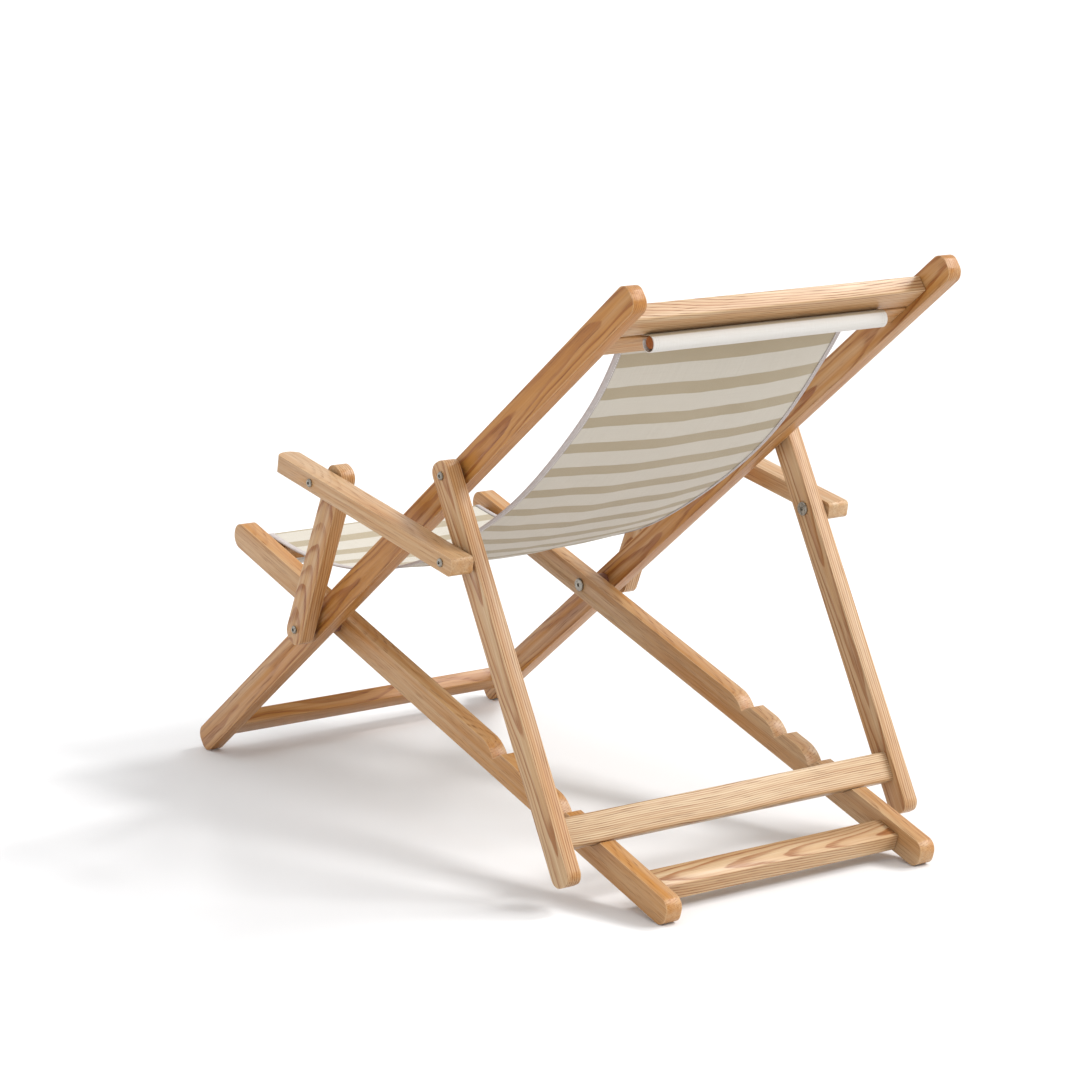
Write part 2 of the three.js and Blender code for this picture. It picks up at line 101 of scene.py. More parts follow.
class Tree:
    """Short calls for building one node tree."""

    def __init__(self, tree):
        self.tree = tree

    def node(self, kind, inputs=None, **settings):
        made = self.tree.nodes.new(kind)
        for name, value in settings.items():
            setattr(made, name, value)
        for key, value in (inputs or {}).items():
            self.put(made.inputs[key], value)
        return made

    def put(self, socket, value):
        if isinstance(value, bpy.types.NodeSocket):
            self.tree.links.new(value, socket)
        else:
            socket.default_value = value

    def coordinates(self):
        return self.node("ShaderNodeTexCoord").outputs["Object"]

    def metres(self):
        return self.node("ShaderNodeUVMap", uv_map="metres").outputs[0]

    def split(self, vector):
        return self.node("ShaderNodeSeparateXYZ", {0: vector}).outputs

    def math(self, operation, a, b=None, c=None, clamp=False):
        values = {i: v for i, v in enumerate((a, b, c)) if v is not None}
        made = self.node("ShaderNodeMath", values, operation=operation, use_clamp=clamp)
        return made.outputs[0]

    def near(self, value, place, reach):
        """1 where a value is within reach of a place, else 0."""
        gap = self.math("ABSOLUTE", self.math("SUBTRACT", value, place))
        return self.math("LESS_THAN", gap, reach)

    def dashes(self, along, pitch):
        """1 on the stitches of a seam, 0 between them."""
        return self.math("LESS_THAN", self.math("FRACT", self.math("DIVIDE", along, pitch)), 0.62)

    def wave(self, value, length):
        return self.math("SINE", self.math("MULTIPLY", value, 2 * math.pi / length))

    def noise(self, vector, scale, detail=2.0, roughness=0.5):
        inputs = {"Vector": vector, "Scale": scale, "Detail": detail, "Roughness": roughness}
        return self.node("ShaderNodeTexNoise", inputs).outputs["Fac"]

    def stretched_noise(self, vector, scales, detail=2.0, roughness=0.5):
        """Noise with its own cycles per metre along each axis."""
        mapping = self.node("ShaderNodeMapping", {"Vector": vector, "Scale": scales})
        return self.noise(mapping.outputs[0], 1.0, detail, roughness)

    def ramp(self, value, stops):
        """Grey levels at places along a value."""
        made = self.node("ShaderNodeValToRGB", {"Fac": value})
        elements = made.color_ramp.elements
        while len(elements) < len(stops):
            elements.new(0.5)
        for element, (place, level) in zip(elements, stops):
            element.position = place
            element.color = (level, level, level, 1)
        return made.outputs[0]

    def mix(self, factor, a, b, blend="MIX"):
        made = self.node("ShaderNodeMix", data_type="RGBA", blend_type=blend)
        self.put(made.inputs["Factor"], factor)
        colours = [s for s in made.inputs if s.type == "RGBA"]
        self.put(colours[0], a if isinstance(a, bpy.types.NodeSocket) else (*a, 1))
        self.put(colours[1], b if isinstance(b, bpy.types.NodeSocket) else (*b, 1))
        return next(s for s in made.outputs if s.type == "RGBA")

    def remap(self, value, from_low, from_high, to_low, to_high):
        inputs = {0: value, 1: from_low, 2: from_high, 3: to_low, 4: to_high}
        return self.node("ShaderNodeMapRange", inputs).outputs[0]

    def spread(self, value, low, high):
        """A noise spread over a range of its own."""
        return self.remap(value, NOISE_LOW, NOISE_HIGH, low, high)

    def bump(self, height, strength, distance):
        inputs = {"Height": height, "Strength": strength, "Distance": distance}
        return self.node("ShaderNodeBump", inputs).outputs[0]


def new_material(name):
    """A material with a bare principled shader, its tree and its shader."""
    material = bpy.data.materials.new(name)
    material.use_nodes = True
    material.node_tree.nodes.clear()
    tree = Tree(material.node_tree)
    shader = tree.node("ShaderNodeBsdfPrincipled")
    tree.node("ShaderNodeOutputMaterial", {"Surface": shader.outputs[0]})
    return material, tree, shader


def link_object(name, data):
    made = bpy.data.objects.new(name, data)
    bpy.context.scene.collection.objects.link(made)
    return made


# ---- Wood ----------------------------------------------------------------------------------------

PALE_WOOD = (0.59, 0.445, 0.275)
DEEP_WOOD = (0.44, 0.195, 0.042)
GRAIN_BROWN = (0.27, 0.085, 0.012)
PORE_BROWN = (0.17, 0.055, 0.01)
# Colour of the painted highlight along the wood's edges.
EDGE_HIGHLIGHT_WOOD = (0.68, 0.5, 0.29)

# Cycles per metre along the grain, across its width and through its thickness.
WANDER_SCALES = (2.4, 0.0, 0.0)
RIPPLE_SCALES = (9.0, 30.0, 30.0)
FIBRE_SCALES = (7.0, 380.0, 380.0)
PORE_SCALES = (26.0, 750.0, 750.0)
CLOUD_SCALES = (2.5, 14.0, 14.0)
STREAK_SCALES = (3.5, 95.0, 95.0)

WANDER = 0.05  # how far the pith wanders sideways, in metres
RING_WAVE = 1.5  # how far a ring wanders, in ring widths
FAINTEST_YEAR = 0.45
TONE_SWING = 0.22
# How dark a growth ring is, across its width.
RING_PROFILE = (
    (0.0, 0.1),
    (0.28, 0.0),
    (0.55, 0.22),
    (0.7, 0.75),
    (0.8, 1.0),
    (0.92, 1.0),
    (0.98, 0.1),
)
EDGE_RADIUS = 0.003
# How strongly the edges are painted lighter, as a highlight.
EDGE_HIGHLIGHT_STRENGTH = 0.28
GRAIN_RELIEF = 0.0004

GROUP_INPUTS = {
    "Vector": "Vector",
    "Pith": "Vector",
    "Lean": "Float",
    "Spacing": "Float",
    "Tone": "Float",
    "Figure": "Float",
}
GROUP_OUTPUTS = {"Color": "Color", "Roughness": "Float", "Height": "Float"}


def ring_lines(t, given, shifted):
    """Growth rings round the pith: dark lines of uneven strength, from 0 to 1."""
    along, wide, thick = t.split(given["Vector"])
    pith = t.split(given["Pith"])
    wander = t.stretched_noise(shifted, WANDER_SCALES, detail=1.0)
    ripple = t.stretched_noise(shifted, RIPPLE_SCALES)
    side = t.math("MULTIPLY_ADD", wander, WANDER, t.math("SUBTRACT", pith[1], WANDER / 2))
    depth = t.math("MULTIPLY_ADD", along, given["Lean"], pith[2])
    across = t.math("SUBTRACT", wide, side)
    deep = t.math("SUBTRACT", thick, depth)
    squares = t.math("MULTIPLY_ADD", across, across, t.math("MULTIPLY", deep, deep))
    rings = t.math("DIVIDE", t.math("SQRT", squares), given["Spacing"])
    phase = t.math("MULTIPLY_ADD", ripple, RING_WAVE, rings)
    number = {"W": t.math("FLOOR", phase)}
    year = t.node("ShaderNodeTexWhiteNoise", number, noise_dimensions="1D").outputs["Value"]
    line = t.ramp(t.math("FRACT", phase), RING_PROFILE)
    return line, t.math("MULTIPLY", line, t.remap(year, 0.0, 1.0, FAINTEST_YEAR, 1.0))


def wood_group():
    """Growth rings and fibres of ash. The vector runs (along the grain, wide, thick), in metres.

    Pith is where the middle of the tree lies, Lean how fast it drifts away along the piece,
    Spacing the width of a growth ring, Tone runs from pale to deep, and Figure is how dark the
    rings are.
    """
    group = bpy.data.node_groups.new("ash_grain", "ShaderNodeTree")
    for in_out, sockets in (("INPUT", GROUP_INPUTS), ("OUTPUT", GROUP_OUTPUTS)):
        for name, kind in sockets.items():
            group.interface.new_socket(name, in_out=in_out, socket_type="NodeSocket" + kind)
    t = Tree(group)
    given = t.node("NodeGroupInput").outputs
    sample = {0: given["Vector"], 1: given["Pith"]}
    shifted = t.node("ShaderNodeVectorMath", sample, operation="ADD").outputs[0]
    line, rings = ring_lines(t, given, shifted)
    fibre = t.stretched_noise(shifted, FIBRE_SCALES, detail=3.0, roughness=0.65)
    pores = t.stretched_noise(shifted, PORE_SCALES, detail=1.0)
    cloud = t.stretched_noise(shifted, CLOUD_SCALES)
    streak = t.stretched_noise(shifted, STREAK_SCALES)

    # Pores crowd into the dark lines.
    crowding = t.remap(line, 0.1, 0.8, 0.15, 1.0)
    pore = t.math("MULTIPLY", t.remap(pores, 0.54, 0.68, 0.0, 1.0), crowding)

    streaked = t.math("ADD", given["Tone"], t.spread(streak, -TONE_SWING, TONE_SWING))
    tone = t.math("ADD", streaked, t.spread(cloud, -TONE_SWING, TONE_SWING), clamp=True)
    base = t.mix(tone, PALE_WOOD, DEEP_WOOD)
    ringed = t.mix(t.math("MULTIPLY", rings, given["Figure"]), base, GRAIN_BROWN)
    fibred = t.mix(t.remap(fibre, 0.42, 0.72, 0.0, 0.4), ringed, GRAIN_BROWN)
    pored = t.mix(t.math("MULTIPLY", pore, 0.7), fibred, PORE_BROWN)

    rough = t.math("MULTIPLY_ADD", pore, 0.2, t.remap(fibre, 0.3, 0.8, 0.36, 0.5))
    dips = t.math("MULTIPLY_ADD", rings, 0.35, t.math("MULTIPLY", pore, 0.8))
    height = t.math("SUBTRACT", t.math("MULTIPLY", fibre, 0.5), dips)
    t.node("NodeGroupOutput", {"Color": pored, "Roughness": rough, "Height": height})
    return group


WOOD_GROUP = wood_group()


def painted_edge_highlight(t, colour):
    """Painted highlight: lighter wood along the sanded edges, where they catch the light."""
    rounded = t.node("ShaderNodeBevel", {"Radius": EDGE_RADIUS}, samples=4).outputs[0]
    plain = t.node("ShaderNodeNewGeometry").outputs["Normal"]
    facing = t.node("ShaderNodeVectorMath", {0: rounded, 1: plain}, operation="DOT_PRODUCT")
    edge = t.remap(facing.outputs["Value"], 0.995, 0.9, 0.0, EDGE_HIGHLIGHT_STRENGTH)
    return t.mix(edge, colour, EDGE_HIGHLIGHT_WOOD)


class Cut(NamedTuple):
    """How a piece is cut from its tree, with its colour. Lengths are in metres."""

    slope: float
    pith: tuple  # how far the pith lies from the middle of the piece, wide and thick
    lean: float
    spacing: float
    tone: float
    figure: float


def wood_material(name, cut, crosswise, pith, tone, stain=None):
    """Ash whose grain runs along a member: at a slope in the side view, or across the chair."""
    material, t, shader = new_material(name)
    turn = {"Vector": t.coordinates(), "Rotation": (-cut.slope, 0, 0)}
    x, along, across = t.split(t.node("ShaderNodeMapping", turn).outputs[0])
    order = (x, along, across) if crosswise else (along, across, x)
    inputs = {
        "Vector": t.node("ShaderNodeCombineXYZ", dict(enumerate(order))).outputs[0],
        "Pith": pith,
        "Lean": cut.lean,
        "Spacing": cut.spacing,
        "Tone": tone,
        "Figure": cut.figure,
    }
    grain = t.node("ShaderNodeGroup", node_tree=WOOD_GROUP)
    for key, value in inputs.items():
        t.put(grain.inputs[key], value)
    # Painted highlight: lighter wood on the edges, where they catch the light.
    colour = painted_edge_highlight(t, grain.outputs["Color"])
    if stain:
        colour = t.mix(0.9, colour, stain, blend="MULTIPLY")
    t.put(shader.inputs["Base Color"], colour)
    t.put(shader.inputs["Roughness"], grain.outputs["Roughness"])
    shader.inputs["Coat Weight"].default_value = 0.15
    shader.inputs["Coat Roughness"].default_value = 0.3
    shader.inputs["Specular IOR Level"].default_value = 0.3
    t.put(shader.inputs["Normal"], t.bump(grain.outputs["Height"], 0.3, GRAIN_RELIEF))
    return material


def dress(node, material):
    mesh = NODES[node].data
    mesh.materials.clear()
    mesh.materials.append(material)


EASED = 0.0018
WELDED = 0.00002


def ease_edges(node):
    """Small rounded edges, as sanding leaves them."""
    piece = NODES[node]
    weld = piece.modifiers.new("weld", "WELD")
    weld.merge_threshold = WELDED
    bevel = piece.modifiers.new("eased_edges", "BEVEL")
    bevel.width = EASED
    bevel.segments = 3
    bevel.limit_method = "ANGLE"
    bevel.angle_limit = math.radians(40)
    bevel.use_clamp_overlap = True
    bevel.harden_normals = True
    for polygon in piece.data.polygons:
        polygon.use_smooth = True


PLAIN_SAWN = (0.0, 0.045)
QUARTER_SAWN = (0.11, 0.015)

# Painted highlight in part: the low tones of the prop legs, head rail, rear stretcher and prop
# crossbar are partly the wood's own pale colour and partly a whitening for the sheen their lit
# faces catch.
MEMBERS = {
    "back_rail": Cut(BACK_SLOPE, PLAIN_SAWN, 0.014, 0.0028, 0.9, 0.95),
    "seat_rail": Cut(SEAT_SLOPE, QUARTER_SAWN, 0.01, 0.0017, 0.82, 0.3),
    "prop_leg": Cut(PROP_SLOPE, (0.006, 0.04), 0.02, 0.0032, 0.42, 0.9),
    "arm_post": Cut(POST_SLOPE, PLAIN_SAWN, 0.09, 0.0034, 0.6, 0.9),
    "armrest": Cut(ARM_SLOPE, QUARTER_SAWN, 0.01, 0.0015, 0.5, 0.2),
}
CROSS_PIECES = {
    "front_stretcher": Cut(BACK_SLOPE, QUARTER_SAWN, 0.012, 0.0026, 0.85, 0.8),
    "slot_rail": Cut(BACK_SLOPE, QUARTER_SAWN, 0.012, 0.003, 0.6, 0.45),
    "head_rail": Cut(BACK_SLOPE, (0.05, 0.03), 0.02, 0.0028, 0.4, 0.85),
    "rear_stretcher": Cut(SEAT_SLOPE, (0.004, 0.04), 0.045, 0.0036, 0.15, 0.9),
    "seat_slot_rail": Cut(SEAT_SLOPE, QUARTER_SAWN, 0.012, 0.003, 0.7, 0.4),
    "prop_crossbar": Cut(PROP_SLOPE, (0.09, 0.01), 0.02, 0.0026, 0.02, 0.9),
}
DOWELS = {
    "top_dowel": Cut(BACK_SLOPE, (0.05, 0.0), 0.01, 0.002, 0.9, 0.5),
    "front_dowel": Cut(SEAT_SLOPE, (0.05, 0.0), 0.01, 0.002, 0.9, 0.5),
}
DOWEL_STAIN = (0.78, 0.5, 0.45)
DOWEL_PLACE = 0.3  # where along the tree both dowels are cut

# Each side's shift along the tree, and how much lighter its wood is made; the right side's lighter
# tone is painted light, brightening the far members.
SIDE_GRAIN_AND_LIGHT = {"left": (0.0, 0.0), "right": (2.3, 0.1)}
PIECE_STEP = 0.37  # from one piece to the next along the tree
TONE_CHANGE = 0.12  # largest change of tone from piece to piece


def pith_of(node, cut, crosswise, place):
    """Where the pith lies, in the grain's own axes."""
    middle = middle_of(node)
    side = turned(middle.y, middle.z, -cut.slope)
    wide, thick = (side.x, side.y) if crosswise else (side.y, middle.x)
    return (place, wide + cut.pith[0], thick + cut.pith[1])


def dress_wood():
    pieces = [
        (f"{side}_{name}", cut, False, shift, painted_paleness)
        for name, cut in MEMBERS.items()
        for side, (shift, painted_paleness) in SIDE_GRAIN_AND_LIGHT.items()
    ]
    pieces += [(name, cut, True, 0.0, 0.0) for name, cut in CROSS_PIECES.items()]
    for i, (node, cut, crosswise, shift, painted_paleness) in enumerate(pieces):
        pith = pith_of(node, cut, crosswise, PIECE_STEP * i + shift)
        # Painted light: the right side's tone is lowered so its members look brighter.
        tone = cut.tone + TONE_CHANGE * math.sin(5 * i + shift) - painted_paleness
        dress(node, wood_material("ash_" + node, cut, crosswise, pith, tone))
        ease_edges(node)
    for node, cut in DOWELS.items():
        pith = pith_of(node, cut, True, DOWEL_PLACE)
        dress(node, wood_material("wood_" + node, cut, True, pith, cut.tone, DOWEL_STAIN))


dress_wood()


# ---- Metal and bushes ----------------------------------------------------------------------------

STEEL_LIGHT = (0.38, 0.355, 0.31)
STEEL_DARK = (0.22, 0.2, 0.17)
NYLON_LIGHT = (0.2, 0.085, 0.05)
NYLON_DARK = (0.13, 0.05, 0.028)
HARDWARE_RELIEF = 0.0002


def plated_steel():
    material, t, shader = new_material("plated_steel")
    coordinates = t.coordinates()
    blotch = t.noise(coordinates, 260.0, detail=3.0)
    scratch = t.stretched_noise(coordinates, (300.0, 2600.0, 900.0))
    colour = t.mix(t.remap(blotch, 0.35, 0.65, 0, 1), STEEL_LIGHT, STEEL_DARK)
    t.put(shader.inputs["Base Color"], colour)
    t.put(shader.inputs["Roughness"], t.spread(blotch, 0.22, 0.4))
    shader.inputs["Metallic"].default_value = 0.9
    t.put(shader.inputs["Normal"], t.bump(scratch, 0.15, HARDWARE_RELIEF))
    return material


def brown_nylon():
    material, t, shader = new_material("brown_nylon")
    mottle = t.noise(t.coordinates(), 380.0)
    t.put(shader.inputs["Base Color"], t.mix(mottle, NYLON_DARK, NYLON_LIGHT))
    t.put(shader.inputs["Roughness"], t.spread(mottle, 0.45, 0.6))
    t.put(shader.inputs["Normal"], t.bump(mottle, 0.2, HARDWARE_RELIEF))
    return material


def dress_hardware():
    steel = plated_steel()
    nylon = brown_nylon()
    for node in NODES:
        if node.endswith(("_bolt", "_cap_nut")):
            dress(node, steel)
        elif node.endswith(("_bush", "_washer")):
            dress(node, nylon)


dress_hardware()


# ---- Shape of the sling --------------------------------------------------------------------------

# Corners that the canvas passes, in the frames of the two slot rails.
SEAT_EDGE = (-0.236, 0.004)
BACK_LOWER_EDGE = (0.719, 0.013)
BACK_UPPER_EDGE = (0.756, 0.013)
WRAP = 0.0025
WRAP_STEPS = 5
SLOT_ACROSS = (0.004, -0.006)  # two places where the canvas runs straight through the slot

# The loose sleeves hang a little lower than their dowels.
SLEEVE_RADIUS = 0.0103
SLEEVE_DROP = 0.0012
SLEEVE_HALF = 0.1795
SLEEVE_STEPS = 22
FRONT_SLEEVE_TURN = (470, 180)
TOP_SLEEVE_TURN = (80, -240)

# Handles of the hanging curve: how far it keeps its way at each end.
SEAT_PULL, SEAT_PULL_SLOPE = 0.41, math.radians(-12)
BACK_PULL, BACK_PULL_SLOPE = 0.145, math.radians(64)
HANG_STEPS = 64

HALF_WIDTH = 0.176
CLOTH = 0.0011
CANVAS_COLUMNS = 36
CROSS_SAG = 0.0085
SLACK, SLACK_SCALES, SLACK_SEED = 0.0028, (11, 6), 3.7
RIPPLE, RIPPLE_ROWS, RIPPLE_SEED = 0.0009, (34, 8), 1.2
HEM_DRAW = 0.012  # share of the width that the hem draws in
# How soon the canvas hangs freely from each rail: steepness and power.
SEAT_FREEDOM = (4.5, 1.5)
BACK_FREEDOM = (9, 0.6)


def arc(centre, radius, slope, turn, steps):
    """Points on an arc, from one angle to another, in degrees from a slope."""
    start, end = (slope + math.radians(angle) for angle in turn)
    angles = [start + (end - start) * i / steps for i in range(steps + 1)]
    return [centre + turned(radius, 0, angle) for angle in angles]


def corner_arc(slope, corner, turn):
    return arc(MAIN_PIVOT + turned(*corner, slope), WRAP, slope, turn, WRAP_STEPS)


def sleeve_loop(slope, centre, turn):
    return arc(MAIN_PIVOT + turned(*centre, slope), SLEEVE_RADIUS, slope, turn, SLEEVE_STEPS)


def bezier(points, steps):
    a, b, c, d = points
    run = []
    for i in range(steps + 1):
        t = i / steps
        u = 1 - t
        run.append(a * u**3 + b * 3 * u * u * t + c * 3 * u * t * t + d * t**3)
    return run


def hanging_curve(start, end):
    handles = (
        start,
        start + turned(SEAT_PULL, 0, SEAT_PULL_SLOPE),
        end - turned(BACK_PULL, 0, BACK_PULL_SLOPE),
        end,
    )
    return bezier(handles, HANG_STEPS)


def sling_run():
    """Middle line of the canvas in (y, z): front sleeve, seat, back, slot and top sleeve.

    With it come the rows where the hang starts and ends, and the rows of the two sleeve seams.
    """
    top = local(MAIN_PIVOT, BACK_SLOPE, TOP_DOWEL)
    low = local(MAIN_PIVOT, SEAT_SLOPE, FRONT_DOWEL)
    front_centre = (SEAT_EDGE[0] - WRAP + SLEEVE_RADIUS, low.y - SLEEVE_DROP)
    front_sleeve = sleeve_loop(SEAT_SLOPE, front_centre, FRONT_SLEEVE_TURN)
    front = corner_arc(SEAT_SLOPE, SEAT_EDGE, (180, 95))
    under = corner_arc(BACK_SLOPE, BACK_LOWER_EDGE, (115, 90))
    over = corner_arc(BACK_SLOPE, BACK_UPPER_EDGE, (90, 0))
    hang = hanging_curve(front[-1], under[0])
    slot_along = BACK_UPPER_EDGE[0] + WRAP
    slot = [MAIN_PIVOT + turned(slot_along, across, BACK_SLOPE) for across in SLOT_ACROSS]
    top_sleeve = sleeve_loop(BACK_SLOPE, (top.x, top.y - SLEEVE_DROP), TOP_SLEEVE_TURN)
    run = front_sleeve + front + hang[1:-1] + under + over + slot + top_sleeve
    first = len(front_sleeve) + len(front) - 1
    last = first + len(hang) - 1
    return run, first, last, len(front_sleeve), len(run) - len(top_sleeve)


RUN, HANG_START, HANG_END, FRONT_SEAM, TOP_SEAM = sling_run()


def lengths_along(run):
    total = [0.0]
    for before, after in zip(run, run[1:]):
        total.append(total[-1] + (after - before).length)
    return total


RUN_LENGTHS = lengths_along(RUN)
HANG_LENGTH = RUN_LENGTHS[HANG_END] - RUN_LENGTHS[HANG_START]


def run_normal(i):
    """Normal of the run on its lower side, in (y, z)."""
    before = RUN[max(i - 1, 0)]
    after = RUN[min(i + 1, len(RUN) - 1)]
    way = (after - before).normalized()
    return Vector((way.y, -way.x))


def freedom(i):
    """How freely the canvas hangs at a row: 0 on the rails, 1 well away from them."""
    t = (RUN_LENGTHS[i] - RUN_LENGTHS[HANG_START]) / HANG_LENGTH
    if not 0 < t < 1:
        return 0.0
    from_seat = min(1.0, SEAT_FREEDOM[0] * t) ** SEAT_FREEDOM[1]
    return from_seat * min(1.0, BACK_FREEDOM[0] * (1 - t)) ** BACK_FREEDOM[1]


def width_scale(i):
    """The sleeves are wider than the canvas, and the hem draws the canvas in between them."""
    wide = SLEEVE_HALF / HALF_WIDTH
    narrowing = HANG_END + WRAP_STEPS
    if i <= FRONT_SEAM or i >= TOP_SEAM:
        return wide
    if i < HANG_START:
        return wide + (1 - wide) * (i - FRONT_SEAM) / (HANG_START - FRONT_SEAM)
    if i > narrowing:
        return 1 + (wide - 1) * (i - narrowing) / (TOP_SEAM - narrowing)
    return 1 - HEM_DRAW * freedom(i)


def wave_at(x, s, scales, seed):
    return noise.noise(Vector((scales[0] * x, scales[1] * s, seed)))


def cloth_point(i, x):
    """A point of the canvas, with its crosswise sag and slack."""
    spread = x / HALF_WIDTH
    s = RUN_LENGTHS[i]
    sag = CROSS_SAG * (1 - spread * spread)
    slack = SLACK * wave_at(x, s, SLACK_SCALES, SLACK_SEED)
    ripple = RIPPLE * wave_at(x, s, RIPPLE_ROWS, RIPPLE_SEED)
    push = run_normal(i) * freedom(i) * (sag + slack + ripple)
    return Vector((x * width_scale(i), RUN[i].x + push.x, RUN[i].y + push.y))


def columns(count):
    """Places across the canvas, closer together at its edges."""
    return [HALF_WIDTH * math.sin(math.pi / 2 * (2 * i / count - 1)) for i in range(count + 1)]


def grid_mesh(name, rows, uvs):
    """A mesh from rows of points, with UVs in metres (across, along)."""
    width = len(rows[0])
    vertices = [point for row in rows for point in row]
    faces = []
    for i in range(len(rows) - 1):
        for j in range(width - 1):
            k = i * width + j
            faces.append((k, k + 1, k + 1 + width, k + width))
    mesh = bpy.data.meshes.new(name)
    mesh.from_pydata(vertices, [], faces)
    flat = [uv for row in uvs for uv in row]
    layer = mesh.uv_layers.new(name="metres")
    for loop in mesh.loops:
        layer.data[loop.index].uv = flat[loop.vertex_index]
    for polygon in mesh.polygons:
        polygon.use_smooth = True
    return link_object(name, mesh)


def thicken(piece, thickness):
    solid = piece.modifiers.new("cloth_thickness", "SOLIDIFY")
    solid.thickness = thickness
    solid.offset = 0


# ---- Cloth ---------------------------------------------------------------------------------------

STRIPE_PERIOD = 0.0526
STRIPE_WIDTH = 0.0208
STRIPE_FIRST = 0.0035 - STRIPE_WIDTH  # where a stripe starts, from the seat's front edge
STRIPE_WAVER = 0.0007
STRIPE_BLUR = 0.0004
WARP_PITCH, WEFT_PITCH = 0.0011, 0.0009
FACING = 0.012  # how far above the seam the white facing of the top sleeve starts
SEAM_INSETS = (0.0045, 0.0075)
SEAM_REACH = 0.00035
SEAM_STITCH = 0.0032
CREAM = (0.58, 0.54, 0.465)
KHAKI = (0.375, 0.305, 0.195)
WHITE_CLOTH = (0.68, 0.66, 0.63)
THREAD_SHADE = (0.36, 0.31, 0.24)
WEAVE_SHADE = (0.3, 0.27, 0.22)
AGED_CLOTH = (0.62, 0.54, 0.42)
SEAM_SHADE = (0.3, 0.27, 0.24)
CANVAS_RELIEF = 0.0006


def stripes(t, uv, along):
    """1 on the khaki stripes, 0 on the cream ones."""
    waver = t.stretched_noise(uv, (900.0, 60.0, 1.0), detail=1.0)
    wavering = t.math("MULTIPLY_ADD", waver, STRIPE_WAVER, along)
    offset = RUN_LENGTHS[HANG_START] + STRIPE_FIRST
    inside = t.math("FLOORED_MODULO", t.math("SUBTRACT", wavering, offset), STRIPE_PERIOD)
    half = STRIPE_WIDTH / 2
    centred = t.math("ABSOLUTE", t.math("SUBTRACT", inside, half))
    return t.remap(centred, half - STRIPE_BLUR, half + STRIPE_BLUR, 1.0, 0.0)


def sleeve_facing(t, along):
    """1 where the sleeves at both ends are faced with plain white cloth."""
    in_front = t.math("LESS_THAN", along, RUN_LENGTHS[FRONT_SEAM])
    on_top = t.math("GREATER_THAN", along, RUN_LENGTHS[TOP_SEAM] + FACING)
    return t.math("ADD", in_front, on_top, clamp=True)


def sleeve_seams(t, across, along, faced):
    """Double rows of stitches at both ends of each sleeve."""
    from_middle = t.math("ABSOLUTE", across)
    rows = [t.near(from_middle, HALF_WIDTH - inset, SEAM_REACH) for inset in SEAM_INSETS]
    stitches = t.math("MULTIPLY", t.math("ADD", *rows), t.dashes(along, SEAM_STITCH))
    return t.math("MULTIPLY", stitches, faced)


def canvas_material():
    """Cream canvas with khaki cross stripes, a plain weave and slubs in the weft."""
    material, t, shader = new_material("striped_canvas")
    uv = t.metres()
    across, along, _ = t.split(uv)
    weave = t.math("MULTIPLY", t.wave(across, WARP_PITCH), t.wave(along, WEFT_PITCH))
    slub = t.stretched_noise(uv, (14.0, 900.0, 1.0), roughness=0.7)
    ends = t.stretched_noise(uv, (700.0, 10.0, 1.0), roughness=0.7)
    threads = t.math("ADD", t.math("MULTIPLY", slub, 0.5), t.math("MULTIPLY", ends, 0.5))
    cloud = t.noise(uv, 9.0, detail=3.0)
    faced = sleeve_facing(t, along)
    seams = sleeve_seams(t, across, along, faced)

    plain = t.mix(faced, t.mix(stripes(t, uv, along), CREAM, KHAKI), WHITE_CLOTH)
    shaded = t.mix(t.remap(threads, 0.35, 0.7, 0.0, 0.22), plain, THREAD_SHADE)
    woven = t.mix(t.remap(weave, -1.0, 1.0, 0.0, 0.14), shaded, WEAVE_SHADE)
    aged = t.mix(t.remap(cloud, 0.35, 0.75, 0.0, 0.1), woven, AGED_CLOTH)
    t.put(shader.inputs["Base Color"], t.mix(t.math("MULTIPLY", seams, 0.35), aged, SEAM_SHADE))
    t.put(shader.inputs["Roughness"], t.spread(threads, 0.82, 0.95))
    shader.inputs["Sheen Weight"].default_value = 0.15
    shader.inputs["Sheen Roughness"].default_value = 0.5
    height = t.math("SUBTRACT", t.math("MULTIPLY_ADD", weave, 0.35, threads), seams)
    t.put(shader.inputs["Normal"], t.bump(height, 0.35, CANVAS_RELIEF))
    return material


BINDING = 0.0075  # how far the tape reaches in over the canvas, on each face
TAPE_THICKNESS = 0.0005
TAPE_LIFT = 0.0006
TAPE_TURN, TAPE_SHOULDER, TAPE_EDGE = -0.001, 0.0009, 0.0013
SHOULDER_SHARE = 0.6
TAPE_RIB = 0.0013
TAPE_STITCH = 0.0036
TAPE_SEAM, TAPE_SEAM_REACH = 0.0017, 0.0004
TAPE_LIGHT = (0.5, 0.45, 0.435)
TAPE_DARK = (0.42, 0.375, 0.36)
TAPE_THREAD = (0.8, 0.77, 0.72)
TAPE_RELIEF = 0.0005
# Rows of the canvas that the tape runs on past the hang, at the seat and into the slot.
TAPE_BEFORE, TAPE_AFTER = 3, 14


def tape_material():
    """Plain cotton tape over the canvas edges, with a running stitch."""
    material, t, shader = new_material("binding_tape")
    uv = t.metres()
    across, along, _ = t.split(uv)
    seam = t.near(across, TAPE_SEAM, TAPE_SEAM_REACH)
    stitch = t.math("MULTIPLY", t.dashes(along, TAPE_STITCH), seam)
    mottle = t.stretched_noise(uv, (500.0, 120.0, 1.0))
    cloth = t.mix(t.spread(mottle, 0.0, 1.0), TAPE_LIGHT, TAPE_DARK)
    t.put(shader.inputs["Base Color"], t.mix(stitch, cloth, TAPE_THREAD))
    shader.inputs["Roughness"].default_value = 0.9
    height = t.math("ADD", t.math("MULTIPLY", t.wave(along, TAPE_RIB), 0.3), stitch)
    t.put(shader.inputs["Normal"], t.bump(height, 0.5, TAPE_RELIEF))
    return material


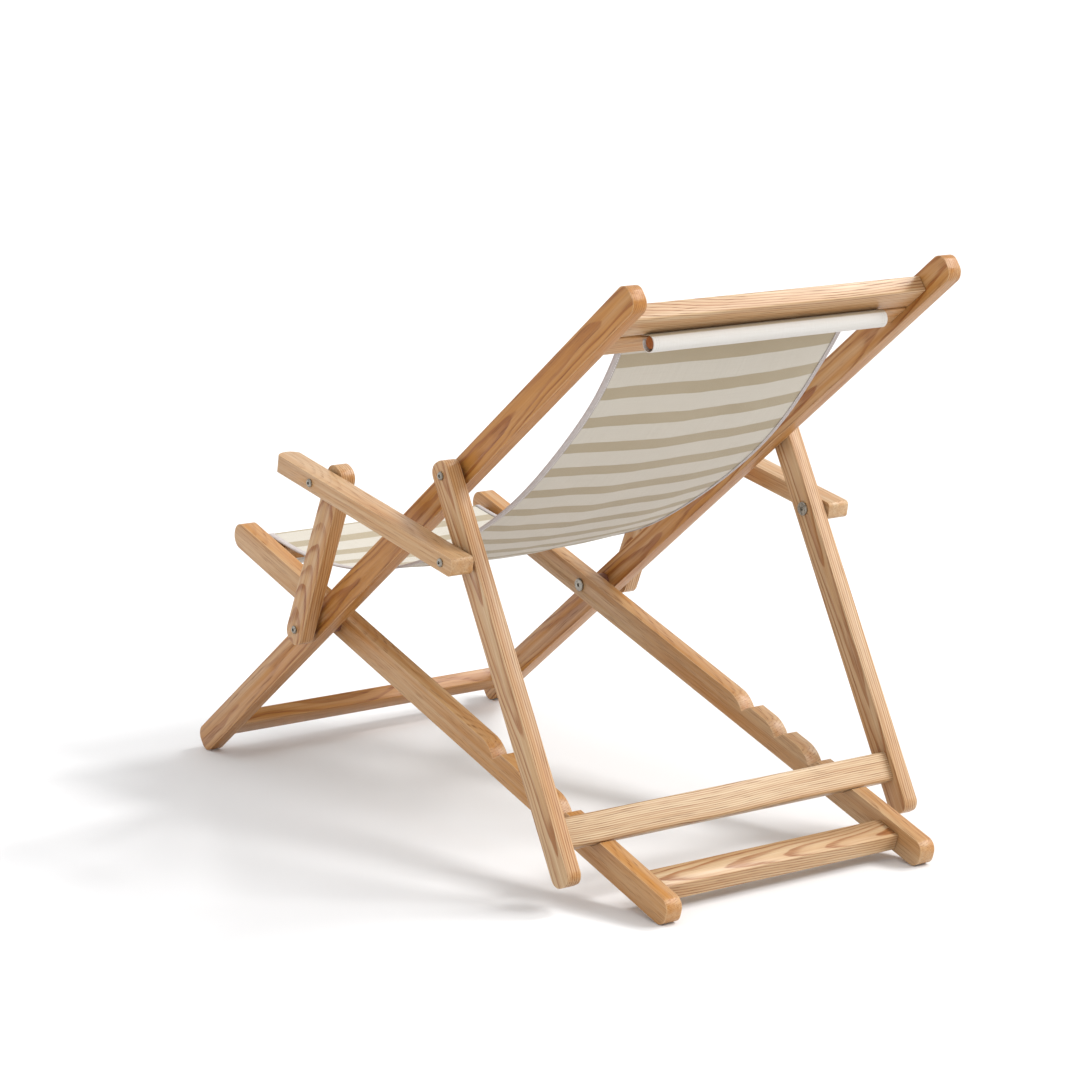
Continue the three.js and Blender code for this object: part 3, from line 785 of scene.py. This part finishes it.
def make_canvas():
    places = columns(CANVAS_COLUMNS)
    rows = [[cloth_point(i, x) for x in places] for i in range(len(RUN))]
    uvs = [[(x, s) for x in places] for s in RUN_LENGTHS]
    canvas = grid_mesh("sling_canvas", rows, uvs)
    canvas.data.materials.append(canvas_material())
    thicken(canvas, CLOTH)
    return canvas


def tape_section():
    """The tape's section round the edge of the canvas, as (out, lift)."""
    half = CLOTH / 2 + TAPE_LIFT
    upper = [(-BINDING, half), (TAPE_TURN, half), (TAPE_SHOULDER, half * SHOULDER_SHARE)]
    lower = [(out, -lift) for out, lift in reversed(upper)]
    return [*upper, (TAPE_EDGE, 0.0), *lower]


def make_binding(side, sign, material):
    """Tape folded over one long edge of the canvas."""
    section = tape_section()
    around = lengths_along([Vector(point) for point in section])
    rows = []
    uvs = []
    for i in range(HANG_START - TAPE_BEFORE, HANG_END + TAPE_AFTER):
        normal = run_normal(i)
        row = []
        for out, lift in section:
            base = cloth_point(i, sign * (HALF_WIDTH + min(out, 0)))
            row.append(base + Vector((sign * max(out, 0), normal.x * lift, normal.y * lift)))
        rows.append(row if sign > 0 else row[::-1])
        lane = [(place, RUN_LENGTHS[i]) for place in around]
        uvs.append(lane if sign > 0 else lane[::-1])
    tape = grid_mesh("sling_binding_" + side, rows, uvs)
    tape.data.materials.append(material)
    thicken(tape, TAPE_THICKNESS)
    return tape


def make_sling():
    canvas = make_canvas()
    tape = tape_material()
    bindings = [make_binding("left", 1, tape), make_binding("right", -1, tape)]
    for piece in (canvas, *bindings):
        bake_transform(piece)
    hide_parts("sling")


make_sling()


# ---- Floor, light and camera ---------------------------------------------------------------------

FLOOR_REACH = 30.0
FLOOR_DROP = 0.0008
FLOOR_PALE = (0.78, 0.78, 0.785)
FLOOR_DULL = (0.76, 0.76, 0.765)
WHITE = (1.0, 1.0, 1.0, 1)

CAMERA_PLACE = Vector((2.617, 3.5257, 1.2862))
CAMERA_TARGET = Vector((0.0, -0.0432, 0.343))
CAMERA_LENS = 115.4
CAMERA_ROLL = math.radians(0.3)


def make_floor():
    r = FLOOR_REACH
    mesh = bpy.data.meshes.new("floor")
    mesh.from_pydata([(-r, -r, 0), (r, -r, 0), (r, r, 0), (-r, r, 0)], [], [(0, 1, 2, 3)])
    floor = link_object("floor", mesh)
    floor.location.z = -FLOOR_DROP
    material, t, shader = new_material("pale_floor")
    shade = t.noise(t.coordinates(), 0.7, detail=1.0)
    t.put(shader.inputs["Base Color"], t.mix(shade, FLOOR_PALE, FLOOR_DULL))
    shader.inputs["Roughness"].default_value = 0.8
    shader.inputs["Specular IOR Level"].default_value = 0.1
    mesh.materials.append(material)


def make_world():
    world = bpy.data.worlds.new("studio")
    bpy.context.scene.world = world
    world.use_nodes = True
    background = world.node_tree.nodes["Background"]
    background.inputs["Color"].default_value = WHITE
    background.inputs["Strength"].default_value = 1.0


def soft_sun(name, direction, strength, spread):
    """Broad soft light from a direction, even over the whole floor."""
    light = bpy.data.lights.new(name, "SUN")
    light.energy = strength
    light.angle = math.radians(spread)
    lamp = link_object(name, light)
    lamp.rotation_euler = (-Vector(direction)).to_track_quat("-Z", "Y").to_euler()


def make_camera():
    data = bpy.data.cameras.new("camera")
    data.lens = CAMERA_LENS
    data.sensor_width = 36
    data.clip_end = 100
    camera = link_object("camera", data)
    look = (CAMERA_TARGET - CAMERA_PLACE).to_track_quat("-Z", "Y").to_matrix().to_4x4()
    roll = Matrix.Rotation(CAMERA_ROLL, 4, "Z")
    camera.matrix_world = Matrix.Translation(CAMERA_PLACE) @ look @ roll
    bpy.context.scene.camera = camera


def set_colours():
    """Whites stay white and colours stay as strong as they are."""
    bpy.context.scene.view_settings.view_transform = "Standard"


set_colours()
make_floor()
make_world()
soft_sun("key", direction=(-0.68, 0.12, 0.72), strength=1.15, spread=12)
soft_sun("sheen", direction=(-0.58, 0.5, 0.64), strength=1.6, spread=22)
make_camera()
